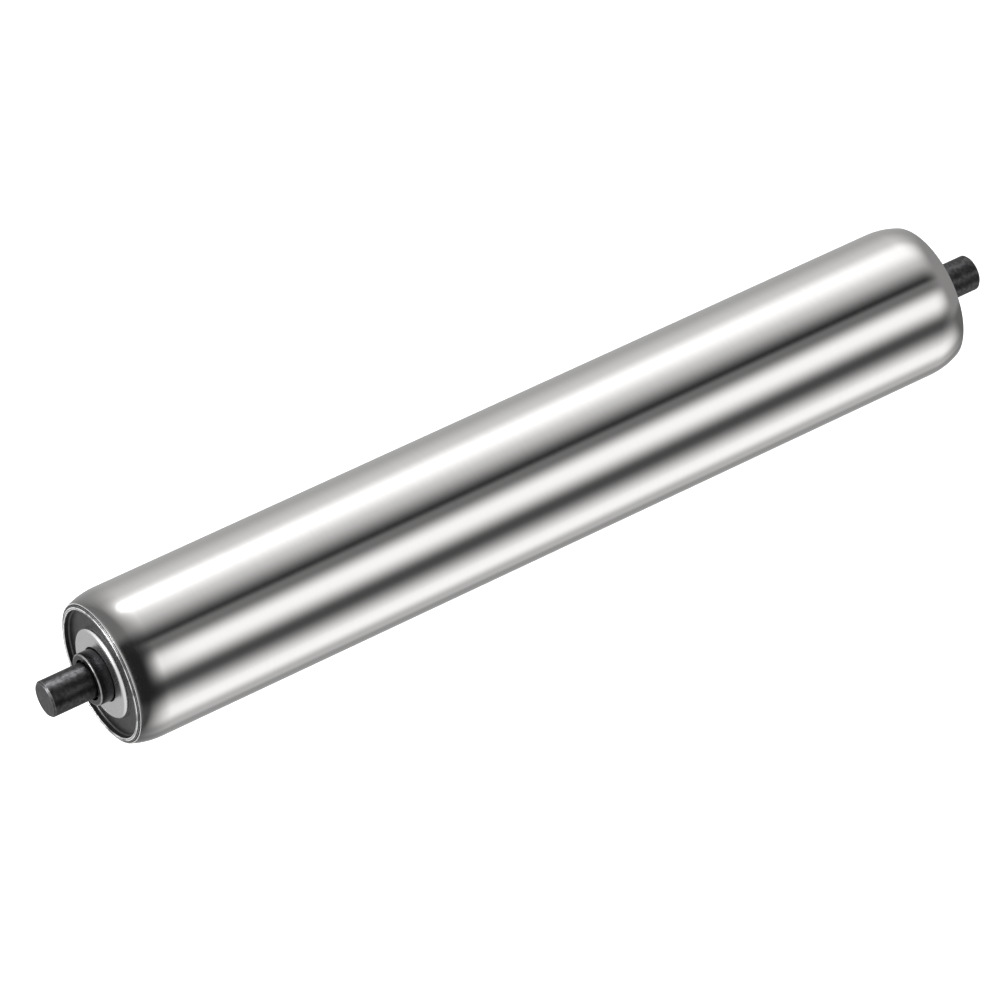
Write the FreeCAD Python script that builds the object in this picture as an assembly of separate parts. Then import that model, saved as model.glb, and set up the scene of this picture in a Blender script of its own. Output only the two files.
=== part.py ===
"""Conveyor roller: a steel tube, rolled in at both ends over two ball bearings, that turns on a fixed round axle.

The axle lies along X, with the roller's centre at the origin and +Z up. The near end is at -X.
Every end piece is drawn at the near end and copied to the far end by half a turn about Z.
Lengths are in millimetres. Axial places of end pieces are measured inboard from the tube's edge.
"""

import FreeCAD, Part

import math
import os

Vector = FreeCAD.Vector
ORIGIN = Vector(0, 0, 0)
AXLE_LINE = Vector(1, 0, 0)
UP = Vector(0, 0, 1)

# Tube, rolled in at both ends over the housings
TUBE_DIAMETER = 50.0
TUBE_LENGTH = 310.0
TUBE_WALL = 1.5
ROLLED_EDGE_INSET = 1.8
ROLLED_END_RADIUS = 17.0
ROLLED_EDGE_WALL = 0.35
ROLLED_BORE_LENGTH = 3.1

# Axle, a plain round bar with a ring groove inboard of each bearing
AXLE_DIAMETER = 12.0
AXLE_LENGTH = 350.0
AXLE_CHAMFER = 0.8
RELIEF_DEPTH = 0.3
RELIEF_WIDTH = 1.2

# End housing, pressed into the tube, with a recess round the bearing
HOUSING_LENGTH = 13.0
LIP_STAND_OUT = 0.6
LIP_WALL = 1.1
RECESS_DEPTH = 2.0

# Bearing, built up from the axle: inner race that stands out as a collar, balls, domed outer race
INNER_TRACK_WALL = 1.35
INNER_TRACK_DEPTH = 1.22
COLLAR_STAND_OUT = 5.0
COLLAR_CHAMFER = 0.4
COLLAR_MOUTH_GAP = 0.75
COLLAR_MOUTH_DEPTH = 2.5
BALL_DIAMETER = 4.76
BALL_COUNT = 8
TRACK_SLOPE = 22.0
OUTER_TRACK_WALL = 2.38
OUTER_RACE_LENGTH = 10.6
DOME_STAND_OUT = 0.65
DOME_BEVEL = 0.85
DOME_WALL = 1.2
DOME_HOLE_GAP = 0.45
CAGE_WALL = 1.6
CAGE_WIDTH = 6.6
SHIELD_THICKNESS = 0.5
SEAL_THICKNESS = 0.8

# Retaining ring in the axle's groove
RING_THICKNESS = 1.0
RING_WIDTH = 1.9
RING_GROOVE_DEPTH = 0.25
RING_GAP_ANGLE = 50.0

# Clearances
PRESS_CLEARANCE = 0.02
AXLE_CLEARANCE = 0.03
RUNNING_GAP = 0.25
BALL_PLAY = 0.05
POCKET_CLEARANCE = 0.15
END_PLAY = 0.1
GROOVE_PLAY = 0.05

# Sizes that follow from those
tube_radius = TUBE_DIAMETER / 2
bore_radius = tube_radius - TUBE_WALL
edge_radius = tube_radius - ROLLED_EDGE_INSET
edge_bore = edge_radius - ROLLED_EDGE_WALL
axle_radius = AXLE_DIAMETER / 2
race_bore = axle_radius + AXLE_CLEARANCE
ball_radius = BALL_DIAMETER / 2
track_rise = math.tan(math.radians(TRACK_SLOPE))
track_reach = (ball_radius + BALL_PLAY) / math.cos(math.radians(TRACK_SLOPE))
inner_track = race_bore + INNER_TRACK_WALL
collar_radius = inner_track + INNER_TRACK_DEPTH
pitch_radius = inner_track + track_reach
outer_track = pitch_radius + track_reach
race_radius = outer_track + OUTER_TRACK_WALL
dome_hole = collar_radius + DOME_HOLE_GAP
collar_face = -COLLAR_STAND_OUT
dome_face = -DOME_STAND_OUT
cavity_front = dome_face + DOME_WALL
bearing_back = dome_face + OUTER_RACE_LENGTH
ball_row = (cavity_front + bearing_back) / 2
cavity_radius = outer_track - (bearing_back - ball_row) * track_rise
ring_start = bearing_back + END_PLAY


def at(inboard):
    """The X of a place that lies this far inboard from the near edge of the tube."""
    return inboard - TUBE_LENGTH / 2


def point(inboard, radius):
    return Vector(at(inboard), radius, 0)


def far_side(place):
    """The same place at the far end."""
    return Vector(-place.x, place.y, 0)


def straight(places):
    """Straight edges that join the places in order."""
    return [Part.LineSegment(a, b).toShape() for a, b in zip(places, places[1:])]


def turned(edges):
    """The solid that a closed section sweeps out about the axle line."""
    return Part.Face(Part.Wire(edges)).revolve(ORIGIN, AXLE_LINE, 360)


def turned_ring(corners):
    """A turned solid whose section has straight sides between its corners, given as (inboard, radius)."""
    places = [point(inboard, radius) for inboard, radius in corners]
    return turned(straight(places + places[:1]))


def plain_ring(start, length, inner, outer):
    end = start + length
    return turned_ring([(start, inner), (end, inner), (end, outer), (start, outer)])


def far_copy(shape):
    """The same piece at the far end, turned half round about Z."""
    copy = shape.copy()
    copy.rotate(ORIGIN, UP, 180)
    return copy


def roller_tube():
    """The end curves in tangentially to an edge that is dressed thin, and the bore tapers with it."""
    turn = math.acos(1 - (tube_radius - edge_radius) / ROLLED_END_RADIUS)

    def on_curve(angle):
        inboard = ROLLED_END_RADIUS * (math.sin(turn) - math.sin(angle))
        return point(inboard, tube_radius - ROLLED_END_RADIUS * (1 - math.cos(angle)))

    curve = [on_curve(0), on_curve(turn / 2), on_curve(turn)]
    inside = [point(0, edge_bore), point(ROLLED_BORE_LENGTH, bore_radius)]
    far_curve = [far_side(place) for place in reversed(curve)]
    far_inside = [far_side(place) for place in reversed(inside)]
    near_end = [Part.Arc(*curve).toShape()] + straight([curve[-1]] + inside)
    bore = straight([inside[-1], far_inside[0]])
    far_end = straight(far_inside + [far_curve[0]]) + [Part.Arc(*far_curve).toShape()]
    outside = straight([far_curve[-1], curve[0]])
    return turned(near_end + bore + far_end + outside)


def end_housing():
    """The skirt fills the bore and tapers out through the rolled edge to the lip."""
    skirt = bore_radius - PRESS_CLEARANCE
    waist = edge_bore - PRESS_CLEARANCE
    lip = waist - LIP_STAND_OUT * (skirt - waist) / ROLLED_BORE_LENGTH
    recess = waist - LIP_WALL
    seat = race_radius + PRESS_CLEARANCE
    floor = RECESS_DEPTH - LIP_STAND_OUT
    return turned_ring(
        [
            (-LIP_STAND_OUT, lip),
            (ROLLED_BORE_LENGTH, skirt),
            (HOUSING_LENGTH, skirt),
            (HOUSING_LENGTH, seat),
            (floor, seat),
            (floor, recess),
            (-LIP_STAND_OUT, recess),
        ]
    )


def outer_race():
    """A cup whose face is domed by a bevel that stands for its round; two cones inside make the ball track."""
    return turned_ring(
        [
            (dome_face, dome_hole),
            (dome_face, race_radius - DOME_BEVEL),
            (dome_face + DOME_BEVEL, race_radius),
            (bearing_back, race_radius),
            (bearing_back, cavity_radius),
            (ball_row, outer_track),
            (cavity_front, cavity_radius),
            (cavity_front, dome_hole),
        ]
    )


def inner_race():
    """A sleeve that stands out as the collar, with a mouth round the axle and a V-shaped ball track."""
    mouth = axle_radius + COLLAR_MOUTH_GAP
    mouth_floor = collar_face + COLLAR_MOUTH_DEPTH
    half_track = INNER_TRACK_DEPTH / track_rise
    return turned_ring(
        [
            (collar_face, mouth),
            (collar_face, collar_radius - COLLAR_CHAMFER),
            (collar_face + COLLAR_CHAMFER, collar_radius),
            (ball_row - half_track, collar_radius),
            (ball_row, inner_track),
            (ball_row + half_track, collar_radius),
            (bearing_back, collar_radius),
            (bearing_back, race_bore),
            (mouth_floor, race_bore),
            (mouth_floor, mouth),
        ]
    )


def ball_cage():
    """A ring with a square window for each ball."""
    inner = pitch_radius - CAGE_WALL / 2
    ring = plain_ring(ball_row - CAGE_WIDTH / 2, CAGE_WIDTH, inner, inner + CAGE_WALL)
    half = ball_radius + POCKET_CLEARANCE
    window = Part.makeBox(2 * half, 2 * half, pitch_radius, Vector(at(ball_row) - half, -half, inner / 2))
    windows = []
    for index in range(BALL_COUNT):
        copy = window.copy()
        copy.rotate(ORIGIN, AXLE_LINE, index * 360 / BALL_COUNT)
        windows.append(copy)
    return ring.cut(windows)


def back_shield():
    start = bearing_back - SHIELD_THICKNESS
    return plain_ring(start, SHIELD_THICKNESS, collar_radius + RUNNING_GAP, cavity_radius - PRESS_CLEARANCE)


def front_seal():
    return plain_ring(cavity_front, SEAL_THICKNESS, collar_radius + RUNNING_GAP, cavity_radius - PRESS_CLEARANCE)


def retaining_ring():
    """An open ring that snaps into the axle's groove, with its gap upwards."""
    inner = axle_radius - RING_GROOVE_DEPTH + PRESS_CLEARANCE
    outer = inner + RING_WIDTH
    half_gap = inner * math.sin(math.radians(RING_GAP_ANGLE / 2))
    gap = Part.makeBox(RING_THICKNESS, 2 * half_gap, outer, Vector(at(ring_start), -half_gap, 0))
    return plain_ring(ring_start, RING_THICKNESS, inner, outer).cut(gap)


def axle():
    """The relief under the collar's mouth parts each free end from its ground bearing seat."""
    tip = (TUBE_LENGTH - AXLE_LENGTH) / 2
    relief = axle_radius - RELIEF_DEPTH
    relief_end = collar_face + RELIEF_WIDTH
    groove = axle_radius - RING_GROOVE_DEPTH
    groove_start = ring_start - GROOVE_PLAY
    groove_end = ring_start + RING_THICKNESS + GROOVE_PLAY
    corners = [
        (tip, 0),
        (tip, axle_radius - AXLE_CHAMFER),
        (tip + AXLE_CHAMFER, axle_radius),
        (collar_face, axle_radius),
        (collar_face, relief),
        (relief_end, relief),
        (relief_end, axle_radius),
        (groove_start, axle_radius),
        (groove_start, groove),
        (groove_end, groove),
        (groove_end, axle_radius),
    ]
    near_half = [point(inboard, radius) for inboard, radius in corners]
    far_half = [far_side(place) for place in reversed(near_half)]
    outline = near_half + far_half
    return turned(straight(outline + outline[:1]))


def save(node, shape):
    shape.exportStep(f"parts/{node}.step")


def save_each_end(name, piece):
    """The two copies as a node each."""
    save("near_" + name, piece)
    save("far_" + name, far_copy(piece))


def save_both_ends(name, piece):
    """The two copies as separate solids of one node."""
    save(name, Part.makeCompound([piece, far_copy(piece)]))


os.makedirs("parts", exist_ok=True)
save("roller_tube", roller_tube())
save("axle", axle())
save_each_end("end_housing", end_housing())
save_each_end("retaining_ring", retaining_ring())
save_both_ends("outer_races", outer_race())
save_both_ends("inner_races", inner_race())
save_both_ends("ball_cages", ball_cage())
save_both_ends("back_shields", back_shield())
save_both_ends("front_seals", front_seal())
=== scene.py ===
"""The looks of a conveyor roller: ground steel tube, black axle, domed bearings, pale studio.

Every new piece is turned about the axle line, which is X. Lengths are in metres. The near end is at -X.
"""

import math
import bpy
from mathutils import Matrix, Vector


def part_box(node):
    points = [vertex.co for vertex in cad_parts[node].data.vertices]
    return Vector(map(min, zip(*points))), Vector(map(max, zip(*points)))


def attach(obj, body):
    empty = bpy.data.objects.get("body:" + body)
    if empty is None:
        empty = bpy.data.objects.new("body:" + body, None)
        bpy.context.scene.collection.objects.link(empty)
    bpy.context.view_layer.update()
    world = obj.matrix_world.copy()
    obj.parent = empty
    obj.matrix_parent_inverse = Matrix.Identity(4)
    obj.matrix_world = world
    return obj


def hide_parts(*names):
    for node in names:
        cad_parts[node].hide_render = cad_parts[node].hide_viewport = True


bl_info = {
    "name": "Conveyor roller",
    "version": (1, 0, 0),
    "blender": (4, 5, 0),
    "location": "View3D > Sidebar > Roller",
    "description": "Turned steel surfaces, bearings and a studio round a packed conveyor roller",
    "category": "Object",
}

import bpy
import numpy as np
from bpy.props import FloatProperty, FloatVectorProperty, IntProperty, PointerProperty
from mathutils import Matrix, Vector

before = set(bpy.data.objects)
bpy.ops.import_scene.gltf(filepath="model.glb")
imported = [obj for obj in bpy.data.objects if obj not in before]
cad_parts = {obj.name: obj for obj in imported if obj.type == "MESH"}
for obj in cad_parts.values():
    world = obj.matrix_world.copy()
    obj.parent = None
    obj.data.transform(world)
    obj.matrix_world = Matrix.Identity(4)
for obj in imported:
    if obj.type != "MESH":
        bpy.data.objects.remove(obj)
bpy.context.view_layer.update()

# Steps round the axle line, along a rounded corner and along the tube's shoulder
SEGMENTS = 256
ARC_STEPS = 7
SHOULDER_STEPS = 40
# Power by which the shoulder's steps crowd towards the tube's edge
SHOULDER_CROWDING = 1.3
# Grid of a ball, with its two poles counted as latitudes
BALL_LATITUDES = 18
BALL_LONGITUDES = 28

# Rounds of edges that are as cut, deburred, eased or blended, and of the places named
CRISP = 0.00004
DEBURRED = 0.0001
EASED = 0.0002
BLENDED = 0.0003
FLANK_ROUND = 0.00005
MOUTH_ROUND = 0.00015
BORE_ROUND = 0.0005
TRACK_ROUND = 0.0015
# Edges that turn by more than this are shaded sharp
SHARP_ANGLE = math.radians(40)
# Flat shading kept beside a rounded corner: its length, and its largest share of the side
LEAD = 0.0001
LEAD_SHARE = 0.2

# How far the lip's flank stands out of the tube's edge, and the gap round the front seal
FLANK_PROUD = 0.0001
SEAL_GAP = 0.00002

# How far an edge is rubbed bare, from 0 to 1, and the value that paints shade into a crevice
CLEAN = 0
SCUFFED = 0.2
WORN = 0.5
RUBBED = 1
PAINTED_SHADE = -1

# Tone of a metal between its turning marks, as a share of the finish
MARK_TONE = 0.94
# Blotches of a finish: scale and detail of the noise, and the part of it over which they fade
BLOTCH_SCALE = 700
BLOTCH_DETAIL = 5
BLOTCH_FADE = (0.38, 0.62)
# Part of the noise over which worn patches fade in, and the near-black colour of the painted shade
WORN_FADE = (0.22, 0.5)
PAINTED_SHADE_COLOUR = (0.008, 0.008, 0.008, 1)
# A rubbed edge scatters light in all directions, which the shader's dielectric part stands for
RUBBED_METALLIC = 0.45
# Grain of a moulded piece: how far it changes the roughness, and its depth
GRAIN_GLOSS = 0.08
GRAIN_DEPTH = 0.00002


def length(name, default, description):
    return FloatProperty(name=name, default=default, description=description, unit="LENGTH", precision=5)


def colour(name, default, description):
    return FloatVectorProperty(
        name=name, default=default, description=description, subtype="COLOR", size=3, min=0, max=1
    )


def share(name, default, description):
    return FloatProperty(name=name, default=default, description=description, subtype="FACTOR", min=0, max=1)


def turn_angle(name, degrees, description):
    return FloatProperty(name=name, default=math.radians(degrees), description=description, subtype="ANGLE")


def plain_number(name, default, description):
    return FloatProperty(name=name, default=default, description=description)


class TubeSettings(bpy.types.PropertyGroup):
    end_length: length("End length", 0.010, "Length of the rolled-in end")
    end_power: FloatProperty(name="End power", default=2.2, min=1, description="Power by which the end rolls in")
    edge_inset: length("Edge inset", 0.0018, "How far the edge lies inside the tube's surface")
    edge_round: length("Edge round", 0.00022, "Rounding of the dressed edge")
    edge_wall: length("Edge wall", 0.00035, "Width of the dressed edge")
    edge_taper: length("Edge taper", 0.0031, "Length over which the bore opens to its full size")
    wall: length("Wall", 0.0015, "Wall of the tube")
    steel: colour("Steel", (0.80, 0.79, 0.78), "Colour of the ground steel")
    bare: colour("Bare steel", (0.42, 0.42, 0.42), "Colour of the dressed edge")
    roughness: share("Roughness", 0.09, "Roughness of the ground steel")


class HousingSettings(bpy.types.PropertyGroup):
    lip_wall: length("Lip wall", 0.0016, "Wall of the lip")
    lip_round: length("Lip round", 0.0003, "Rounding of the lip's inner edge")
    crown_offset: length("Crown offset", 0.00075, "How far outside the recess the lip's flank begins")
    crown_round: length("Crown round", 0.0004, "Rounding between the lip's face and its flank")
    groove_width: length("Groove width", 0.0003, "Width of the dark groove between the lip and the tube's edge")
    groove_depth: length("Groove depth", 0.0007, "Depth of that groove from the tube's edge")
    recess_depth: length("Recess depth", 0.002, "Depth of the recess from the lip's crown")
    recess_fillet: length("Recess fillet", 0.0006, "Fillet at the foot of the lip")
    waist_gap: length("Waist gap", 0.00002, "Gap to the tube's edge and round the outer race")
    # The steel colour is near black as painted shade for the recess; the bare colour is the same steel lit,
    # painted on the lip as its highlight
    steel: colour("Steel", (0.075, 0.075, 0.077), "Colour of the plated steel with painted shade and highlight")
    bare: colour("Bare steel", (0.58, 0.58, 0.58), "Colour where the lip is rubbed bright")
    roughness: share("Roughness", 0.34, "Roughness of the plated steel with painted shade and highlight")


class BearingSettings(bpy.types.PropertyGroup):
    race_length: length("Race length", 0.0106, "Length of the outer race")
    dome_radius: length("Dome radius", 0.0013, "Radius of the outer race's domed corner")
    bead_width: length("Bead width", 0.0021, "Width of the bead round the outer race's face")
    bead_fold: length("Bead fold", 0.0006, "Radius of the fold at the bead's foot")
    bead_rise: length("Bead rise", 0.00022, "Height of the bead over the race's face")
    dome_wall: length("Dome wall", 0.0012, "Wall of the outer race's face")
    hole_gap: length("Hole gap", 0.00045, "Gap between the dome's hole and the collar")
    track_wall: length("Track wall", 0.00238, "Wall behind the outer track")
    track_depth: length("Track depth", 0.00122, "Depth of the inner track")
    ball_radius: length("Ball radius", 0.00238, "Radius of a ball")
    ball_count: IntProperty(name="Balls", default=8, min=3, description="Balls in one bearing")
    pitch_radius: length("Pitch radius", 0.01, "Radius of the ring of balls")
    collar_chamfer: length("Collar chamfer", 0.0004, "Chamfer of the collar's front edge")
    mouth_gap: length("Mouth gap", 0.00075, "Gap between the axle and the collar's mouth")
    mouth_depth: length("Mouth depth", 0.0025, "Depth of the collar's mouth")
    bore_gap: length("Bore gap", 0.00003, "Gap between the inner race and the axle")
    steel: colour("Steel", (0.66, 0.66, 0.66), "Colour of the outer race")
    roughness: share("Roughness", 0.27, "Roughness of the outer race")
    black: colour("Black", (0.045, 0.045, 0.048), "Colour of the black collar")


class AxleSettings(bpy.types.PropertyGroup):
    chamfer: length("Chamfer", 0.0006, "Chamfer of the axle's ends")
    relief_depth: length("Relief depth", 0.0003, "Depth of the relief at the collar")
    relief_width: length("Relief width", 0.0012, "Width of the relief at the collar")
    groove_depth: length("Groove depth", 0.00025, "Depth of the retaining ring's groove")
    groove_play: length("Groove play", 0.00005, "Play of the retaining ring in its groove")
    black: colour("Black", (0.085, 0.085, 0.088), "Colour of the black finish")
    bare: colour("Bare steel", (0.5, 0.5, 0.5), "Colour where edges are worn bare")
    roughness: share("Roughness", 0.34, "Roughness of the black finish")
    mottle: share("Mottle", 0.45, "How much darker the finish's blotches are")


class StageSettings(bpy.types.PropertyGroup):
    floor_drop: length("Floor drop", 0.35, "Height of the roller's centre over the floor")
    tent_radius: length("Tent radius", 0.3, "Radius of the light tent round the roller")
    lens: plain_number("Lens", 212.84, "Focal length in mm of a 36 mm wide frame")
    distance: length("Distance", 1.857, "Distance from the camera to the roller's centre")
    azimuth: turn_angle("Azimuth", -33.80, "Turn of the camera")
    elevation: turn_angle("Elevation", 43.815, "Camera's height angle")
    centre_column: plain_number("Centre column", 524.54, "Pixel column of the roller's centre")
    centre_row: plain_number("Centre row", 477.87, "Pixel row of the roller's centre")


def rounded(corners):
    """A closed section from rows of x, radius, round and wear, where wear under 0 is painted shade.

    A corner with a round becomes the arc that touches both of its sides, and a point a little before and after
    the arc keeps the sides' shading flat. A corner without one stays a single point.
    Along the arc, a place is the centre plus the two spokes to its ends, weighted by sines of the angle to each.
    """
    corners = np.array(corners, float)
    places = corners[:, :2]
    before = np.roll(places, 1, axis=0) - places
    after = np.roll(places, -1, axis=0) - places
    side_before = np.linalg.norm(before, axis=1)
    side_after = np.linalg.norm(after, axis=1)
    before /= side_before[:, None]
    after /= side_after[:, None]
    rows = []
    for place, one, two, room_one, room_two, (_, _, radius, wear_and_shade) in zip(
        places, before, after, side_before, side_after, corners
    ):
        half = 0.5 * math.acos(float(np.clip(one @ two, -1, 1)))
        if radius == 0:
            rows.append([[*place, wear_and_shade]])
            continue
        reach = radius / math.tan(half)
        middle = place + (one + two) / np.linalg.norm(one + two) * radius / math.sin(half)
        sweep = math.pi - 2 * half
        step = np.linspace(0, 1, ARC_STEPS)[:, None]
        spokes = (place + one * reach - middle) * np.sin((1 - step) * sweep)
        spokes = spokes + (place + two * reach - middle) * np.sin(step * sweep)
        arc = middle + spokes / math.sin(sweep)
        lead_one = place + one * (reach + min(LEAD, LEAD_SHARE * room_one))
        lead_two = place + two * (reach + min(LEAD, LEAD_SHARE * room_two))
        rows.append([[*lead_one, CLEAN]])
        rows.append(np.column_stack([arc, np.full(ARC_STEPS, wear_and_shade)]))
        rows.append([[*lead_two, CLEAN]])
    return np.concatenate(rows)


def turned(name, section, body, material, replaced, poles=False):
    """A surface of two parameters: the place along the section and the angle round the axle line.

    A vertex is at x, radius times the cosine and radius times the sine of the angle. A closed section wraps
    round in both ways. With poles, the section runs from tip to tip and a single vertex closes each tip.
    """
    section = np.asarray(section, float)
    if poles:
        rows = section[1:-1]
    else:
        rows = section
        x, radius = rows[:, 0], rows[:, 1]
        area = np.sum(x * np.roll(radius, -1) - np.roll(x, -1) * radius)
        if area > 0:
            rows = rows[::-1]
    angle = np.linspace(0, 2 * math.pi, SEGMENTS, endpoint=False)
    x = np.repeat(rows[:, 0], SEGMENTS)
    radius = np.repeat(rows[:, 1], SEGMENTS)
    turn = np.tile(angle, len(rows))
    vertices = np.column_stack([x, radius * np.cos(turn), radius * np.sin(turn)])
    wear_and_shade = np.repeat(rows[:, 2], SEGMENTS)
    grid = np.arange(len(rows) * SEGMENTS).reshape(len(rows), SEGMENTS)
    ahead = np.roll(grid, -1, axis=0)
    if poles:
        grid, ahead = grid[:-1], ahead[:-1]
    quads = np.stack([grid, np.roll(grid, -1, axis=1), np.roll(ahead, -1, axis=1), ahead], axis=-1)
    faces = quads.reshape(-1, 4).tolist()
    if poles:
        first = np.arange(SEGMENTS)
        last = first + (len(rows) - 1) * SEGMENTS
        near_tip = len(vertices)
        vertices = np.vstack([vertices, [section[0, 0], 0, 0], [section[-1, 0], 0, 0]])
        wear_and_shade = np.append(wear_and_shade, [CLEAN, CLEAN])
        near_fan = np.column_stack([np.full(SEGMENTS, near_tip), np.roll(first, -1), first])
        far_fan = np.column_stack([np.full(SEGMENTS, near_tip + 1), last, np.roll(last, -1)])
        faces += near_fan.tolist() + far_fan.tolist()
    mesh = bpy.data.meshes.new(name)
    mesh.from_pydata(vertices.tolist(), [], faces)
    # Over 0 this attribute is wear, and under 0 it is painted shade
    attribute = mesh.attributes.new("wear_and_shade", "FLOAT", "POINT")
    attribute.data.foreach_set("value", wear_and_shade.astype(np.float32))
    mesh.polygons.foreach_set("use_smooth", np.ones(len(mesh.polygons), bool))
    mesh.set_sharp_from_angle(angle=SHARP_ANGLE)
    mesh.materials.append(material)
    piece = bpy.data.objects.new(name, mesh)
    bpy.context.scene.collection.objects.link(piece)
    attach(piece, body)
    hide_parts(*replaced)


def far_end(section):
    """The same section at the far end, which is the near one with x turned round."""
    return np.asarray(section) * (-1, 1, 1)


def mirrored(corners):
    """Corners of x, radius, round and wear (painted shade where under 0) at the other end, in the order that goes
    on from the given ones.
    """
    return [(-x, away, rounding, wear_and_shade_level) for x, away, rounding, wear_and_shade_level in reversed(corners)]


def group_socket(group, name, in_out, kind, default=None):
    socket = group.interface.new_socket(name=name, in_out=in_out, socket_type=kind)
    if default is not None:
        socket.default_value = default


def turning_marks():
    """Fine rings round the axle line: noise that changes fast along x and slowly round it."""
    group = bpy.data.node_groups.get("turning marks")
    if group:
        return group
    group = bpy.data.node_groups.new("turning marks", "ShaderNodeTree")
    group_socket(group, "Spacing", "INPUT", "NodeSocketFloat", 2500.0)
    group_socket(group, "Drift", "INPUT", "NodeSocketFloat", 0.02)
    group_socket(group, "Marks", "OUTPUT", "NodeSocketFloat")
    nodes, links = group.nodes, group.links
    source = nodes.new("NodeGroupInput")
    place = nodes.new("ShaderNodeTexCoord")
    split = nodes.new("ShaderNodeSeparateXYZ")
    join = nodes.new("ShaderNodeCombineXYZ")
    links.new(place.outputs["Object"], split.inputs[0])
    links.new(split.outputs["X"], join.inputs["X"])
    for axis in "YZ":
        slow = nodes.new("ShaderNodeMath")
        slow.operation = "MULTIPLY"
        links.new(split.outputs[axis], slow.inputs[0])
        links.new(source.outputs["Drift"], slow.inputs[1])
        links.new(slow.outputs[0], join.inputs[axis])
    noise = nodes.new("ShaderNodeTexNoise")
    noise.inputs["Detail"].default_value = 3
    noise.inputs["Roughness"].default_value = 0.6
    links.new(join.outputs[0], noise.inputs["Vector"])
    links.new(source.outputs["Spacing"], noise.inputs["Scale"])
    result = nodes.new("NodeGroupOutput")
    links.new(noise.outputs["Fac"], result.inputs["Marks"])
    return group


def blend_colour(nodes, links, under, over, mask):
    """Goes from one colour to the other as the mask goes from 0 to 1; each is a socket or a plain colour."""
    node = nodes.new("ShaderNodeMix")
    node.data_type = "RGBA"
    links.new(mask, node.inputs["Factor"])
    for socket, part in ((node.inputs[6], under), (node.inputs[7], over)):
        if isinstance(part, tuple):
            socket.default_value = part
        else:
            links.new(part, socket)
    return node.outputs[2]


def blend_level(nodes, links, under, over, mask):
    """Goes from one brightness to the other as the mask goes from 0 to 1; each is a socket or a number."""
    node = nodes.new("ShaderNodeMix")
    links.new(mask, node.inputs["Factor"])
    for socket, part in ((node.inputs["A"], under), (node.inputs["B"], over)):
        if isinstance(part, (int, float)):
            socket.default_value = part
        else:
            links.new(part, socket)
    return node.outputs[0]


def value_node(nodes, operation, first, second, links):
    """A math node on two inputs, each a socket or a number."""
    node = nodes.new("ShaderNodeMath")
    node.operation = operation
    for index, part in enumerate((first, second)):
        if isinstance(part, (int, float)):
            node.inputs[index].default_value = part
        else:
            links.new(part, node.inputs[index])
    return node.outputs[0]


def smooth_step(nodes, links, value, start, end):
    """Rises smoothly from 0 at start to 1 at end."""
    node = nodes.new("ShaderNodeMapRange")
    node.interpolation_type = "SMOOTHSTEP"
    node.inputs["From Min"].default_value = min(start, end)
    node.inputs["From Max"].default_value = max(start, end)
    node.inputs["To Min"].default_value = 0 if start < end else 1
    node.inputs["To Max"].default_value = 1 if start < end else 0
    links.new(value, node.inputs["Value"])
    return node.outputs["Result"]


def edge_wear_and_painted_shade():
    """Bare steel where the wear attribute is over 0, broken up by noise, and near-black painted shade where it is
    under 0.
    """
    group = bpy.data.node_groups.get("edge wear and painted shade")
    if group:
        return group
    group = bpy.data.node_groups.new("edge wear and painted shade", "ShaderNodeTree")
    group_socket(group, "Finish", "INPUT", "NodeSocketColor", (0.05, 0.05, 0.05, 1))
    group_socket(group, "Bare", "INPUT", "NodeSocketColor", (0.5, 0.5, 0.5, 1))
    group_socket(group, "Patchiness", "INPUT", "NodeSocketFloat", 300.0)
    group_socket(group, "Colour", "OUTPUT", "NodeSocketColor")
    group_socket(group, "Mask", "OUTPUT", "NodeSocketFloat")
    nodes, links = group.nodes, group.links
    source = nodes.new("NodeGroupInput")
    place = nodes.new("ShaderNodeTexCoord")
    wear_and_shade_level = nodes.new("ShaderNodeAttribute")
    wear_and_shade_level.attribute_name = "wear_and_shade"
    noise = nodes.new("ShaderNodeTexNoise")
    noise.inputs["Detail"].default_value = 4
    links.new(place.outputs["Object"], noise.inputs["Vector"])
    links.new(source.outputs["Patchiness"], noise.inputs["Scale"])
    spread = nodes.new("ShaderNodeMapRange")
    spread.inputs["From Min"].default_value, spread.inputs["From Max"].default_value = WORN_FADE
    links.new(noise.outputs["Fac"], spread.inputs["Value"])
    rubbed = value_node(nodes, "MAXIMUM", wear_and_shade_level.outputs["Fac"], 0, links)
    mask = value_node(nodes, "MULTIPLY", rubbed, spread.outputs["Result"], links)
    painted_shade = value_node(nodes, "MULTIPLY", wear_and_shade_level.outputs["Fac"], -1, links)
    painted_shade = value_node(nodes, "MAXIMUM", painted_shade, 0, links)
    bright = blend_colour(nodes, links, source.outputs["Finish"], source.outputs["Bare"], mask)
    colour_out = blend_colour(nodes, links, bright, PAINTED_SHADE_COLOUR, painted_shade)
    result = nodes.new("NodeGroupOutput")
    links.new(colour_out, result.inputs["Colour"])
    links.new(mask, result.inputs["Mask"])
    return group


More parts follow.
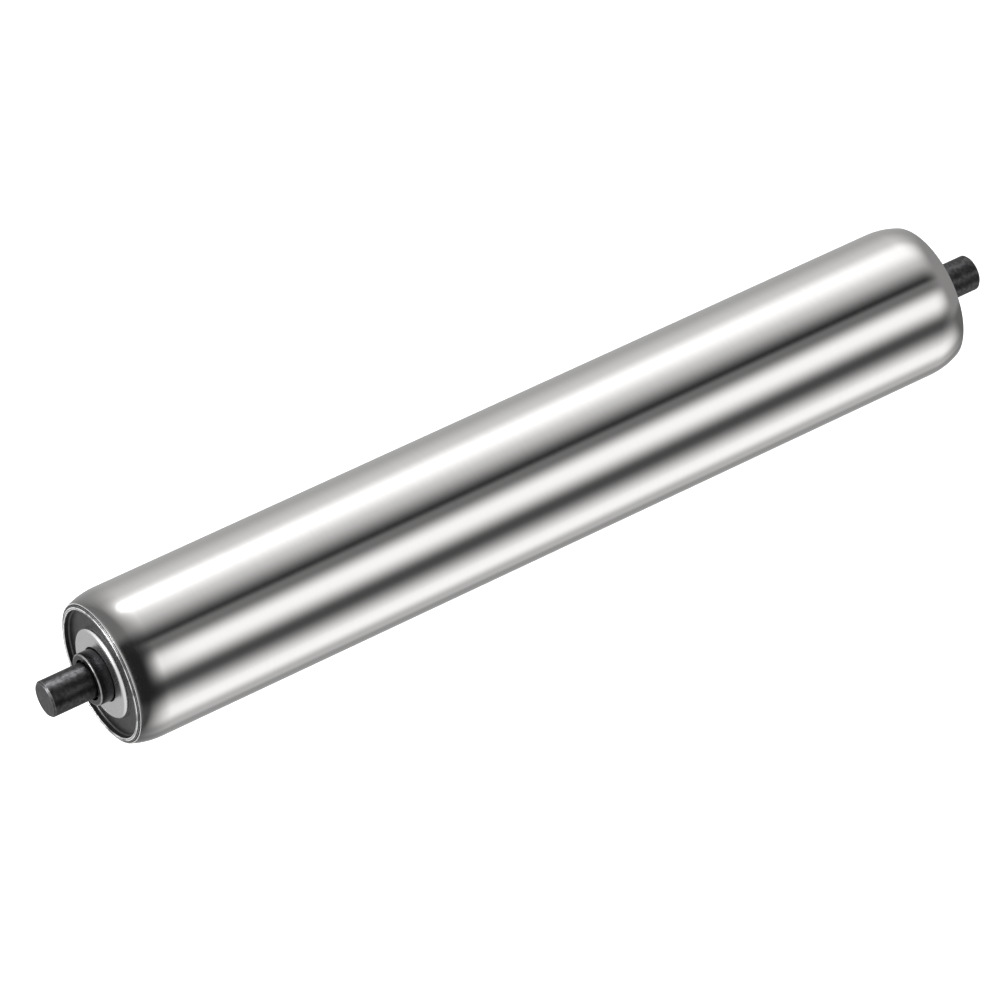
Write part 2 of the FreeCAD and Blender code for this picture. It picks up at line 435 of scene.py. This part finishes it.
def metal(name, finish, roughness, spacing, mark_depth, mark_gloss, bare=None, mottle=0.0):
    """A turned metal: rings in its gloss and relief, blotches, and worn edges and painted shade where a bare
    colour is given.

    The spacing is the number of marks in a metre, roughly, and the mottle is how much darker the blotches are.
    """
    material = bpy.data.materials.get(name)
    if material:
        return material
    material = bpy.data.materials.new(name)
    material.use_nodes = True
    nodes, links = material.node_tree.nodes, material.node_tree.links
    surface = nodes["Principled BSDF"]
    surface.inputs["Metallic"].default_value = 1
    marks = nodes.new("ShaderNodeGroup")
    marks.node_tree = turning_marks()
    marks.inputs["Spacing"].default_value = spacing
    gloss = nodes.new("ShaderNodeMapRange")
    gloss.inputs["To Min"].default_value = roughness - mark_gloss
    gloss.inputs["To Max"].default_value = roughness + mark_gloss
    links.new(marks.outputs["Marks"], gloss.inputs["Value"])
    links.new(gloss.outputs["Result"], surface.inputs["Roughness"])
    relief = nodes.new("ShaderNodeBump")
    relief.inputs["Strength"].default_value = 1.0
    relief.inputs["Distance"].default_value = mark_depth
    links.new(marks.outputs["Marks"], relief.inputs["Height"])
    links.new(relief.outputs["Normal"], surface.inputs["Normal"])
    dull = tuple(MARK_TONE * part for part in finish)
    tone = blend_colour(nodes, links, (*dull, 1), (*finish, 1), marks.outputs["Marks"])
    if mottle:
        place = nodes.new("ShaderNodeTexCoord")
        blotches = nodes.new("ShaderNodeTexNoise")
        blotches.inputs["Scale"].default_value = BLOTCH_SCALE
        blotches.inputs["Detail"].default_value = BLOTCH_DETAIL
        links.new(place.outputs["Object"], blotches.inputs["Vector"])
        patches = smooth_step(nodes, links, blotches.outputs["Fac"], *BLOTCH_FADE)
        dark = tuple((1 - mottle) * part for part in finish)
        tone = blend_colour(nodes, links, (*dark, 1), tone, patches)
    if bare is not None:
        wear_and_shade = nodes.new("ShaderNodeGroup")
        wear_and_shade.node_tree = edge_wear_and_painted_shade()
        links.new(tone, wear_and_shade.inputs["Finish"])
        wear_and_shade.inputs["Bare"].default_value = (*bare, 1)
        tone = wear_and_shade.outputs["Colour"]
        scatter = nodes.new("ShaderNodeMapRange")
        scatter.inputs["To Min"].default_value = 1
        scatter.inputs["To Max"].default_value = RUBBED_METALLIC
        links.new(wear_and_shade.outputs["Mask"], scatter.inputs["Value"])
        links.new(scatter.outputs["Result"], surface.inputs["Metallic"])
    links.new(tone, surface.inputs["Base Color"])
    return material


def moulded(name, finish, roughness, grain):
    """A moulded plastic or rubber with a fine even grain."""
    material = bpy.data.materials.new(name)
    material.use_nodes = True
    nodes, links = material.node_tree.nodes, material.node_tree.links
    surface = nodes["Principled BSDF"]
    surface.inputs["Base Color"].default_value = (*finish, 1)
    place = nodes.new("ShaderNodeTexCoord")
    noise = nodes.new("ShaderNodeTexNoise")
    noise.inputs["Scale"].default_value = grain
    links.new(place.outputs["Object"], noise.inputs["Vector"])
    gloss = nodes.new("ShaderNodeMapRange")
    gloss.inputs["To Min"].default_value = roughness - GRAIN_GLOSS
    gloss.inputs["To Max"].default_value = roughness + GRAIN_GLOSS
    links.new(noise.outputs["Fac"], gloss.inputs["Value"])
    links.new(gloss.outputs["Result"], surface.inputs["Roughness"])
    relief = nodes.new("ShaderNodeBump")
    relief.inputs["Distance"].default_value = GRAIN_DEPTH
    links.new(noise.outputs["Fac"], relief.inputs["Height"])
    links.new(relief.outputs["Normal"], surface.inputs["Normal"])
    return material


class ROLLER_OT_tube(bpy.types.Operator):
    """Turn the ground steel tube with its rolled-in ends"""

    bl_idname = "roller.tube"
    bl_label = "Tube"

    def execute(self, context):
        tube = context.scene.roller_tube
        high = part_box("roller_tube")[1]
        radius = high.y
        edge = high.x
        # the shoulder falls off from the tube's surface by a power of how near the edge it is
        inboard = tube.end_length * np.linspace(0, 1, SHOULDER_STEPS) ** SHOULDER_CROWDING
        fall = tube.edge_inset * (1 - inboard / tube.end_length) ** tube.end_power
        near_arc = np.column_stack([inboard - edge, radius - fall, np.zeros_like(fall), np.zeros_like(fall)])
        near_arc[0, 2:] = tube.edge_round, RUBBED
        far_arc = mirrored(near_arc)
        edge_bore = radius - tube.edge_inset - tube.edge_wall
        bore = radius - tube.wall
        inside = [(edge, edge_bore, CRISP, RUBBED), (edge - tube.edge_taper, bore, BORE_ROUND, CLEAN)]
        section = rounded(np.vstack([near_arc, far_arc, inside, mirrored(inside)]))
        steel = metal(
            "ground steel",
            tube.steel,
            tube.roughness,
            spacing=3000,
            mark_depth=0.0000012,
            mark_gloss=0.035,
            bare=tube.bare,
        )
        turned("ground_tube", section, "roller", steel, ["roller_tube"])
        return {"FINISHED"}


class ROLLER_OT_housings(bpy.types.Operator):
    """Turn both end housings with their rounded lips and recesses"""

    bl_idname = "roller.housings"
    bl_label = "End housings"

    def execute(self, context):
        scene = context.scene
        housing, tube = scene.roller_housing, scene.roller_tube
        tube_low, tube_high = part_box("roller_tube")
        low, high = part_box("near_end_housing")
        edge = tube_low.x
        waist = tube_high.y - tube.edge_inset - tube.edge_wall - housing.waist_gap
        skirt = high.y
        groove_x = edge + housing.groove_depth
        groove_radius = waist + housing.groove_depth * (skirt - waist) / tube.edge_taper
        recess = waist - housing.lip_wall
        crown = recess + housing.crown_offset
        flank = waist - housing.groove_width
        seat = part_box("outer_races")[1].y + housing.waist_gap
        floor = low.x + housing.recess_depth
        section = rounded(
            [
                (low.x, crown, housing.crown_round, RUBBED),
                (edge - FLANK_PROUD, flank, FLANK_ROUND, WORN),
                # The groove's two corners carry painted shade: a near-black band between the lip's flank and the
                # tube's edge
                (groove_x, flank, 0, PAINTED_SHADE),
                (groove_x, groove_radius, 0, PAINTED_SHADE),
                (edge + tube.edge_taper, skirt, CRISP, CLEAN),
                (high.x, skirt, BLENDED, CLEAN),
                (high.x, seat, EASED, CLEAN),
                (floor, seat, CRISP, CLEAN),
                (floor, recess, housing.recess_fillet, CLEAN),
                (low.x, recess, housing.lip_round, RUBBED),
            ]
        )
        # Lit and shaded copies of one plated steel: near black as painted shade in the recess, and bright on the
        # lip's crown, flank and inner round as a painted highlight, broken up by the wear noise
        steel = metal(
            "plated steel with painted shade and highlight",
            housing.steel,
            housing.roughness,
            spacing=1800,
            mark_depth=0.000002,
            mark_gloss=0.06,
            bare=housing.bare,
            mottle=0.25,
        )
        turned("near_lip_and_recess", section, "roller", steel, ["near_end_housing"])
        turned("far_lip_and_recess", far_end(section), "roller", steel, ["far_end_housing"])
        return {"FINISHED"}


class ROLLER_OT_outer_races(bpy.types.Operator):
    """Turn the domed outer races with their ball tracks"""

    bl_idname = "roller.outer_races"
    bl_label = "Outer races"

    def execute(self, context):
        bearing = context.scene.roller_bearing
        low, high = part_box("outer_races")
        radius = high.y
        face = low.x
        back = face + bearing.race_length
        front = face + bearing.dome_wall
        row = (front + back) / 2
        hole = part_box("inner_races")[1].y + bearing.hole_gap
        track = radius - bearing.track_wall
        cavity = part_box("front_seals")[1].y + SEAL_GAP
        # the face is sunk inside the bead, and the fold leads up from it to the bead
        sunk_face = face + bearing.bead_rise
        bead = radius - bearing.bead_width
        section = rounded(
            [
                (sunk_face, hole, DEBURRED, CLEAN),
                (sunk_face, bead - bearing.bead_fold, bearing.bead_fold, CLEAN),
                (face, bead, bearing.bead_fold, CLEAN),
                (face, radius, bearing.dome_radius, CLEAN),
                (back, radius, BLENDED, CLEAN),
                (back, cavity, CRISP, CLEAN),
                (row, track, TRACK_ROUND, CLEAN),
                (front, cavity, CRISP, CLEAN),
                (front, hole, CRISP, CLEAN),
            ]
        )
        steel = metal(
            "turned steel", bearing.steel, bearing.roughness, spacing=2200, mark_depth=0.0000015, mark_gloss=0.05
        )
        turned("near_domed_race", section, "roller", steel, ["outer_races"])
        turned("far_domed_race", far_end(section), "roller", steel, ["outer_races"])
        return {"FINISHED"}


class ROLLER_OT_inner_races(bpy.types.Operator):
    """Turn the black inner races that stand out as collars"""

    bl_idname = "roller.inner_races"
    bl_label = "Inner races"

    def execute(self, context):
        scene = context.scene
        bearing, axle = scene.roller_bearing, scene.roller_axle
        low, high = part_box("inner_races")
        radius = high.y
        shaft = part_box("axle")[1].y
        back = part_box("outer_races")[0].x + bearing.race_length
        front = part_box("outer_races")[0].x + bearing.dome_wall
        row = (front + back) / 2
        half_track = math.sqrt(bearing.ball_radius**2 - (bearing.pitch_radius - radius) ** 2)
        mouth = shaft + bearing.mouth_gap
        bore = shaft + bearing.bore_gap
        mouth_floor = low.x + bearing.mouth_depth
        section = rounded(
            [
                (low.x, mouth, MOUTH_ROUND, SCUFFED),
                (low.x, radius, bearing.collar_chamfer, WORN),
                (row - half_track, radius, CRISP, CLEAN),
                (row, radius - bearing.track_depth, TRACK_ROUND, CLEAN),
                (row + half_track, radius, CRISP, CLEAN),
                (back, radius, EASED, CLEAN),
                (back, bore, CRISP, CLEAN),
                (mouth_floor, bore, CRISP, CLEAN),
                (mouth_floor, mouth, DEBURRED, CLEAN),
            ]
        )
        black = metal(
            "black collar",
            bearing.black,
            roughness=0.3,
            spacing=2000,
            mark_depth=0.0000015,
            mark_gloss=0.05,
            bare=axle.bare,
            mottle=0.5 * axle.mottle,
        )
        turned("near_collar", section, "axle", black, ["inner_races"])
        turned("far_collar", far_end(section), "axle", black, ["inner_races"])
        return {"FINISHED"}


class ROLLER_OT_axle(bpy.types.Operator):
    """Turn the black round axle with its chamfered ends"""

    bl_idname = "roller.axle"
    bl_label = "Axle"

    def execute(self, context):
        axle = context.scene.roller_axle
        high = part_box("axle")[1]
        radius = high.y
        tip = high.x
        collar = -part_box("inner_races")[0].x
        relief = radius - axle.relief_depth
        groove = radius - axle.groove_depth
        ring_low, ring_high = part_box("far_retaining_ring")
        groove_start = ring_low.x - axle.groove_play
        groove_end = ring_high.x + axle.groove_play
        half = [
            (0, radius, 0, CLEAN),
            (groove_start, radius, 0, CLEAN),
            (groove_start, groove, 0, CLEAN),
            (groove_end, groove, 0, CLEAN),
            (groove_end, radius, 0, CLEAN),
            (collar - axle.relief_width, radius, 0, CLEAN),
            (collar - axle.relief_width, relief, 0, CLEAN),
            (collar, relief, 0, CLEAN),
            (collar, radius, 0, CLEAN),
            (tip - axle.chamfer, radius, DEBURRED, SCUFFED),
            (tip, radius - axle.chamfer, DEBURRED, SCUFFED),
            (tip, 0, 0, CLEAN),
        ]
        section = rounded(mirrored(half[1:]) + half)
        black = metal(
            "black oxide",
            axle.black,
            axle.roughness,
            spacing=1500,
            mark_depth=0.000002,
            mark_gloss=0.08,
            bare=axle.bare,
            mottle=axle.mottle,
        )
        turned("black_axle", section, "axle", black, ["axle"], poles=True)
        return {"FINISHED"}


class ROLLER_OT_balls(bpy.types.Operator):
    """Set the balls in both cages and finish the pieces that stay as packed"""

    bl_idname = "roller.balls"
    bl_label = "Balls and hidden rings"

    def execute(self, context):
        bearing = context.scene.roller_bearing
        chrome = metal(
            "ball steel", (0.72, 0.72, 0.73), roughness=0.08, spacing=1200, mark_depth=0.0000002, mark_gloss=0.02
        )
        hidden_marks = {"spacing": 1500, "mark_depth": 0.000001, "mark_gloss": 0.05}
        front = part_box("outer_races")[0].x + bearing.dome_wall
        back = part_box("outer_races")[0].x + bearing.race_length
        row = (front + back) / 2
        for end, x in (("near", row), ("far", -row)):
            for index in range(bearing.ball_count):
                around = 2 * math.pi * index / bearing.ball_count
                self.ball(f"{end}_ball_{index + 1}", x, around, bearing, chrome)
        finishes = {
            "ball_cages": moulded("cage nylon", (0.62, 0.58, 0.47), roughness=0.45, grain=900),
            "front_seals": moulded("seal rubber", (0.012, 0.012, 0.012), roughness=0.6, grain=1500),
            "back_shields": metal("shield steel", (0.55, 0.55, 0.56), roughness=0.3, **hidden_marks),
            "near_retaining_ring": metal("spring steel", (0.12, 0.12, 0.13), roughness=0.4, **hidden_marks),
        }
        finishes["far_retaining_ring"] = finishes["near_retaining_ring"]
        for node, finish in finishes.items():
            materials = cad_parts[node].data.materials
            materials.clear()
            materials.append(finish)
        return {"FINISHED"}

    def ball(self, name, x, around, bearing, material):
        """A ball is a grid of latitude and longitude: the centre plus the radius times the unit direction."""
        latitude = np.linspace(-math.pi / 2, math.pi / 2, BALL_LATITUDES)[1:-1]
        longitude = np.linspace(0, 2 * math.pi, BALL_LONGITUDES, endpoint=False)
        tilt, turn = np.meshgrid(latitude, longitude, indexing="ij")
        unit = np.stack([np.sin(tilt), np.cos(tilt) * np.cos(turn), np.cos(tilt) * np.sin(turn)], -1)
        unit = np.vstack([unit.reshape(-1, 3), [-1, 0, 0], [1, 0, 0]])
        # a ball's own height above the axle line points out through its window of the cage
        outward = np.array([0, -math.sin(around), math.cos(around)])
        centre = np.array([x, 0, 0]) + bearing.pitch_radius * outward
        grid = np.arange(len(latitude) * len(longitude)).reshape(len(latitude), -1)
        ahead = np.roll(grid[:-1], -1, axis=1)
        quads = np.stack([grid[:-1], ahead, np.roll(grid[1:], -1, axis=1), grid[1:]], -1)
        first, last = grid[0], grid[-1]
        south = np.column_stack([np.full(len(first), len(unit) - 2), np.roll(first, -1), first])
        north = np.column_stack([np.full(len(last), len(unit) - 1), last, np.roll(last, -1)])
        faces = quads.reshape(-1, 4).tolist() + south.tolist() + north.tolist()
        mesh = bpy.data.meshes.new(name)
        mesh.from_pydata((centre + bearing.ball_radius * unit).tolist(), [], faces)
        mesh.polygons.foreach_set("use_smooth", np.ones(len(mesh.polygons), bool))
        mesh.materials.append(material)
        piece = bpy.data.objects.new(name, mesh)
        bpy.context.scene.collection.objects.link(piece)
        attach(piece, "cages")


# Strips of the light tent, by the angle round the axle line from +Y over +Z, in degrees:
# middle, half width, softness before, softness after, brightness. A later strip covers earlier ones.
STRIPS = {
    "overhead cloth": (77, 35, 46, 1, 0.78),
    "overhead box": (59, 4, 22, 24, 1.30),
    "dark gap over the front box": (124, 7, 38, 1, 0.02),
    "grey panel under it": (147, 24, 8, 30, 0.185),
    "dark gap under the front box": (200, 17, 12, 1, 0.08),
    "pale ground": (248, 12, 10, 12, 0.55),
    "lower box": (229, 1.5, 42, 22, 1.20),
    "front box": (151, 2, 22, 26, 1.20),
    "lower gap": (276, 4, 14, 14, 0.33),
}
TENT_LEVEL = 0.45
# Angles run from here round to 360 degrees more
TURN_START = -40

# Dark flag round the near end: its brightness over, before and under the roller, the angles over which
# one gives way to the next, and the x over which the flag opens into the strips
FLAG_OVER = 0.17
FLAG_BEFORE = 0.018
FLAG_UNDER = 0.06
FLAG_OVER_TO_BEFORE = (94, 112)
FLAG_BEFORE_TO_UNDER = (190, 212)
FLAG_OPENS = (-0.17, -0.035)
# Angles over which the front, where the flag opens later, begins and ends
FRONT_BEGINS = (108, 135)
FRONT_ENDS = (206, 180)

# Beyond the flag the tent's end glows, most over the roller and least beside it
END_GLOW = 1.05
END_GLOW_OVER = 1.3
END_GLOW_BESIDE = 0.60
GLOW_OVER_TO_BEFORE = (80, 112)
GLOW_UNDER_TO_BESIDE = (255, 290)
GLOW_BESIDE_TO_OVER = (-15, 25)
GLOW_BEGINS = (-0.165, -0.195)
# The glow begins further out in a lobe: its middle in degrees, its narrowness and its reach
LOBE_MIDDLE = 131
LOBE_NARROWNESS = 0.75
LOBE_REACH = 0.09

# Brightness beyond the far end, the angles over which it falls and the x over which it begins
FAR_LEVEL = 0.30
FAR_LEVEL_UNDER = 0.15
FAR_OVER_TO_UNDER = (180, 200)
FAR_BEGINS = (0.27, 0.52)

# Grid of the tent: steps round, and the x of its rings
TENT_STEPS = 96
TENT_RINGS = (-1.3, -0.5, 0.0, 0.5, 1.2)

# Square lamps: place, width in metres and power in watts
LAMPS = {
    "end_box": ((-1.25, 0.30, 0.62), 0.40, 11),
    "top_box": ((0.2, -0.3, 1.6), 1.2, 8),
    "back_box": ((0.52, 0.89, 1.28), 0.50, 7),
    "near_box": ((-0.011, 0.245, 0.377), 0.10, 1.2),
    "tip_box": ((-0.611, 0.1255, 0.211), 0.15, 1.2),
}
LAMP_AIM = (-0.1, 0, 0)

# Pale studio: colour, glow and reach of the floor, and the world's light on the roller and as a backdrop
FLOOR_COLOUR = (0.93, 0.93, 0.93, 1)
FLOOR_GLOW = 0.12
FLOOR_REACH = 20.0
WHITE = (1, 1, 1, 1)
WORLD_LIGHT = 0.8
BACKDROP = 1.0

# Camera: width of the frame in mm and in pixels, and how far it sees in metres
SENSOR_WIDTH = 36
FRAME_PIXELS = 1000
CLIP_END = 100


def tent_material():
    """Brightness by the angle round the axle line, with a flag and a glow at the near end and a dim far end."""
    material = bpy.data.materials.new("light tent")
    material.use_nodes = True
    nodes, links = material.node_tree.nodes, material.node_tree.links
    nodes.clear()
    place = nodes.new("ShaderNodeTexCoord")
    split = nodes.new("ShaderNodeSeparateXYZ")
    links.new(place.outputs["Object"], split.inputs[0])
    turn = value_node(nodes, "ARCTAN2", split.outputs["Z"], split.outputs["Y"], links)
    degrees = value_node(nodes, "MULTIPLY", turn, 180 / math.pi, links)
    around = value_node(nodes, "SUBTRACT", degrees, TURN_START, links)
    around = value_node(nodes, "FLOORED_MODULO", around, 360, links)
    around = value_node(nodes, "ADD", around, TURN_START, links)
    level = TENT_LEVEL
    for middle, half, before, after, brightness in STRIPS.values():
        rise = smooth_step(nodes, links, around, middle - half - before, middle - half)
        fall = smooth_step(nodes, links, around, middle + half + after, middle + half)
        mask = value_node(nodes, "MULTIPLY", rise, fall, links)
        level = blend_level(nodes, links, level, brightness, mask)
    x = split.outputs["X"]
    before = smooth_step(nodes, links, around, *FLAG_OVER_TO_BEFORE)
    flag = blend_level(nodes, links, FLAG_OVER, FLAG_BEFORE, before)
    under = smooth_step(nodes, links, around, *FLAG_BEFORE_TO_UNDER)
    flag = blend_level(nodes, links, flag, FLAG_UNDER, under)
    front = smooth_step(nodes, links, around, *FRONT_BEGINS)
    front = value_node(nodes, "MULTIPLY", front, smooth_step(nodes, links, around, *FRONT_ENDS), links)
    opening = nodes.new("ShaderNodeMapRange")
    opening.inputs["From Min"].default_value, opening.inputs["From Max"].default_value = FLAG_OPENS
    links.new(x, opening.inputs["Value"])
    opened = opening.outputs["Result"]
    # squared, the same rise comes later
    opened = blend_level(nodes, links, opened, value_node(nodes, "MULTIPLY", opened, opened, links), front)
    level = blend_level(nodes, links, flag, level, opened)

    lobe = value_node(nodes, "SUBTRACT", around, LOBE_MIDDLE, links)
    lobe = value_node(nodes, "MULTIPLY", lobe, LOBE_NARROWNESS * math.pi / 180, links)
    lobe = value_node(nodes, "COSINE", lobe, 0, links)
    outward = value_node(nodes, "ADD", x, value_node(nodes, "MULTIPLY", lobe, LOBE_REACH, links), links)
    before = smooth_step(nodes, links, around, *GLOW_OVER_TO_BEFORE)
    glow_level = blend_level(nodes, links, END_GLOW_OVER, END_GLOW, before)
    beside = smooth_step(nodes, links, around, *GLOW_UNDER_TO_BESIDE)
    glow_level = blend_level(nodes, links, glow_level, END_GLOW_BESIDE, beside)
    over = smooth_step(nodes, links, around, *GLOW_BESIDE_TO_OVER)
    glow_level = blend_level(nodes, links, END_GLOW_BESIDE, glow_level, over)
    level = blend_level(nodes, links, level, glow_level, smooth_step(nodes, links, outward, *GLOW_BEGINS))

    under = smooth_step(nodes, links, around, *FAR_OVER_TO_UNDER)
    far_level = blend_level(nodes, links, FAR_LEVEL, FAR_LEVEL_UNDER, under)
    level = blend_level(nodes, links, level, far_level, smooth_step(nodes, links, x, *FAR_BEGINS))
    glow = nodes.new("ShaderNodeEmission")
    links.new(level, glow.inputs["Strength"])
    result = nodes.new("ShaderNodeOutputMaterial")
    links.new(glow.outputs[0], result.inputs["Surface"])
    return material


def seen_directly(nodes, links):
    """Is 1 for rays from the camera and for reflected or transmitted ones, and 0 for soft light."""
    path = nodes.new("ShaderNodeLightPath")
    seen = value_node(nodes, "MAXIMUM", path.outputs["Is Camera Ray"], path.outputs["Is Glossy Ray"], links)
    return value_node(nodes, "MAXIMUM", seen, path.outputs["Is Transmission Ray"], links)


def stage_mesh(name, vertices, faces, material):
    mesh = bpy.data.meshes.new(name)
    mesh.from_pydata(vertices, [], faces)
    mesh.materials.append(material)
    piece = bpy.data.objects.new(name, mesh)
    bpy.context.scene.collection.objects.link(piece)
    return piece


class ROLLER_OT_stage(bpy.types.Operator):
    """Set the pale floor, the light tent, the lamps, the world and the camera"""

    bl_idname = "roller.stage"
    bl_label = "Stage"

    def execute(self, context):
        stage = context.scene.roller_stage
        self.floor(stage)
        self.tent(stage)
        self.lamps()
        self.world(context.scene)
        self.camera(context.scene, stage)
        context.scene.view_settings.view_transform = "Standard"
        return {"FINISHED"}

    def floor(self, stage):
        material = bpy.data.materials.new("pale floor")
        material.use_nodes = True
        nodes, links = material.node_tree.nodes, material.node_tree.links
        surface = nodes["Principled BSDF"]
        surface.inputs["Base Color"].default_value = FLOOR_COLOUR
        surface.inputs["Roughness"].default_value = 1
        surface.inputs["Specular IOR Level"].default_value = 0
        surface.inputs["Emission Color"].default_value = WHITE
        glow = value_node(nodes, "MULTIPLY", seen_directly(nodes, links), FLOOR_GLOW, links)
        links.new(glow, surface.inputs["Emission Strength"])
        far, z = FLOOR_REACH, -stage.floor_drop
        corners = [(-far, -far, z), (far, -far, z), (far, far, z), (-far, far, z)]
        stage_mesh("floor", corners, [(0, 1, 2, 3)], material)

    def tent(self, stage):
        """A tube round the roller that only reflections see: x by the angle round, on a grid."""
        around = np.linspace(0, 2 * math.pi, TENT_STEPS, endpoint=False)
        x, turn = np.meshgrid(TENT_RINGS, around, indexing="ij")
        y, z = stage.tent_radius * np.cos(turn), stage.tent_radius * np.sin(turn)
        vertices = np.stack([x, y, z], -1).reshape(-1, 3)
        grid = np.arange(len(vertices)).reshape(len(TENT_RINGS), -1)
        ahead = np.roll(grid, -1, axis=1)
        faces = np.stack([grid[:-1], ahead[:-1], ahead[1:], grid[1:]], -1).reshape(-1, 4)
        tent = stage_mesh("light_tent", vertices.tolist(), faces.tolist(), tent_material())
        tent.visible_camera = False
        tent.visible_diffuse = False
        tent.visible_shadow = False
        tent.visible_transmission = False

    def lamps(self):
        for name, (place, width, power) in LAMPS.items():
            light = bpy.data.lights.new(name, "AREA")
            light.shape = "SQUARE"
            light.size = width
            light.energy = power
            lamp = bpy.data.objects.new(name, light)
            lamp.location = place
            lamp.rotation_euler = (Vector(place) - Vector(LAMP_AIM)).to_track_quat("Z", "Y").to_euler()
            lamp.visible_camera = False
            bpy.context.scene.collection.objects.link(lamp)

    def world(self, scene):
        world = bpy.data.worlds.new("pale studio")
        scene.world = world
        world.use_nodes = True
        nodes, links = world.node_tree.nodes, world.node_tree.links
        sky = nodes["Background"]
        sky.inputs["Color"].default_value = WHITE
        strength = blend_level(nodes, links, WORLD_LIGHT, BACKDROP, seen_directly(nodes, links))
        links.new(strength, sky.inputs["Strength"])

    def camera(self, scene, stage):
        """The camera looks along its axis past the roller's centre, which falls on the photograph's own pixel."""
        a, e = stage.azimuth, stage.elevation
        right = Vector((math.cos(a), math.sin(a), 0))
        up = Vector((-math.sin(a) * math.sin(e), math.cos(a) * math.sin(e), math.cos(e)))
        back = Vector((math.sin(a) * math.cos(e), -math.cos(a) * math.cos(e), math.sin(e)))
        focal_pixels = stage.lens / SENSOR_WIDTH * FRAME_PIXELS
        across = (stage.centre_column - FRAME_PIXELS / 2) / focal_pixels
        down = (stage.centre_row - FRAME_PIXELS / 2) / focal_pixels
        away = stage.distance / math.sqrt(1 + across**2 + down**2)
        data = bpy.data.cameras.new("camera")
        data.lens = stage.lens
        data.sensor_width = SENSOR_WIDTH
        data.clip_end = CLIP_END
        camera = bpy.data.objects.new("camera", data)
        place = away * (back - across * right + down * up)
        camera.matrix_world = Matrix.Translation(place) @ Matrix((right, up, back)).transposed().to_4x4()
        scene.collection.objects.link(camera)
        scene.camera = camera


class ROLLER_PT_panel(bpy.types.Panel):
    """Lists the roller's pieces in the order in which they are made"""

    bl_idname = "ROLLER_PT_panel"
    bl_label = "Conveyor roller"
    bl_space_type = "VIEW_3D"
    bl_region_type = "UI"
    bl_category = "Roller"

    def draw(self, context):
        for operator in OPERATORS:
            self.layout.operator(operator.bl_idname)
        for name in SETTINGS:
            settings = getattr(context.scene, name)
            box = self.layout.box()
            for value in settings.__annotations__:
                box.prop(settings, value)


OPERATORS = (
    ROLLER_OT_tube,
    ROLLER_OT_housings,
    ROLLER_OT_outer_races,
    ROLLER_OT_inner_races,
    ROLLER_OT_axle,
    ROLLER_OT_balls,
    ROLLER_OT_stage,
)
SETTINGS = {
    "roller_tube": TubeSettings,
    "roller_housing": HousingSettings,
    "roller_bearing": BearingSettings,
    "roller_axle": AxleSettings,
    "roller_stage": StageSettings,
}


def register():
    for settings in SETTINGS.values():
        bpy.utils.register_class(settings)
    for operator in OPERATORS:
        bpy.utils.register_class(operator)
    bpy.utils.register_class(ROLLER_PT_panel)
    for name, settings in SETTINGS.items():
        setattr(bpy.types.Scene, name, PointerProperty(type=settings))


def unregister():
    for name in SETTINGS:
        delattr(bpy.types.Scene, name)
    bpy.utils.unregister_class(ROLLER_PT_panel)
    for operator in reversed(OPERATORS):
        bpy.utils.unregister_class(operator)
    for settings in reversed(SETTINGS.values()):
        bpy.utils.unregister_class(settings)


def main():
    register()
    bpy.ops.roller.tube()
    bpy.ops.roller.housings()
    bpy.ops.roller.outer_races()
    bpy.ops.roller.inner_races()
    bpy.ops.roller.axle()
    bpy.ops.roller.balls()
    bpy.ops.roller.stage()


if __name__ == "__main__":
    main()
